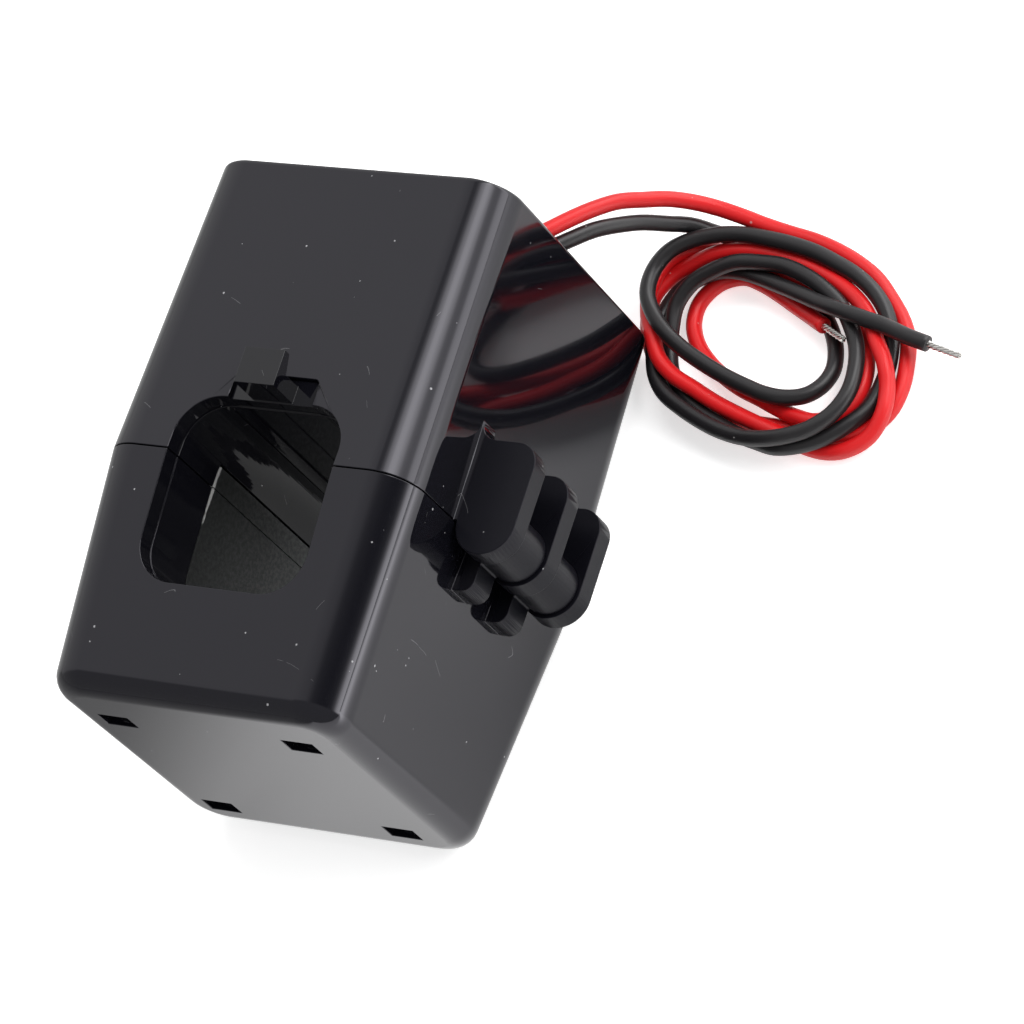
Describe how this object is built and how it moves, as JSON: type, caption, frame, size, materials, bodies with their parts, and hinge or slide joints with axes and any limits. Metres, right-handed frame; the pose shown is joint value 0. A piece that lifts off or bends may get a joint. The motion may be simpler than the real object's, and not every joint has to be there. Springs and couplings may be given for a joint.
{
  "type": "split-core current transformer",
  "caption": "Split-core current transformer with a hinged lower half, a rounded square conductor window, a lining hook and a loose coil of red and black leads.",
  "frame": {"origin": "on the axis of the conductor window, in the plane on which the transformer lies", "axes": "+Z along the conductor and up from the resting plane, +Y along the height towards the leads, +X across the width towards the hinge"},
  "size_m": [0.0642, 0.0643, 0.0372],
  "materials": {
    "case_black": "mirror gloss black housing",
    "lining_black": "gloss black window lining",
    "carrier_grey": "matt dark grey-green moulding",
    "core_steel": "wound silicon steel strip, cut ends ground",
    "bobbin_white": "natural moulded bobbin",
    "winding_copper": "enamelled copper wire",
    "tape_yellow": "polyester winding tape",
    "board_green": "glass-epoxy solder board",
    "bush_rubber": "soft black rubber",
    "pad_foam": "closed-cell foam",
    "pin_steel": "drawn steel pin",
    "lead_red": "red PVC insulation",
    "lead_black": "black PVC insulation",
    "tinned": "tinned copper strands"
  },
  "bodies": {
    "fixed_half": {"fixed_case": "case_black", "window_saddle": "lining_black", "fixed_carrier": "carrier_grey", "fixed_core": "core_steel", "bobbin": "bobbin_white", "winding": "winding_copper", "winding_tape": "tape_yellow", "lead_board": "board_green", "lead_bush": "bush_rubber", "inner_lead_red": "lead_red", "inner_lead_black": "lead_black", "hinge_pin": "pin_steel", "red_lead": "lead_red", "black_lead": "lead_black", "lead_coil": "lead_red", "red_tail": "lead_red", "black_tail": "lead_black", "red_tip": "tinned", "black_tip": "tinned"},
    "moving_half": {"moving_case": "case_black", "core_carrier": "carrier_grey", "moving_core": "core_steel", "core_pad": "pad_foam"}
  },
  "joints": [
    {"name": "clamp_hinge", "type": "hinge", "parent": "fixed_half", "child": "moving_half", "pos_m": [0.01925, 0.0033, 0.0171], "axis": [0, 0, 1], "range_deg": [0, 110]}
  ]
}
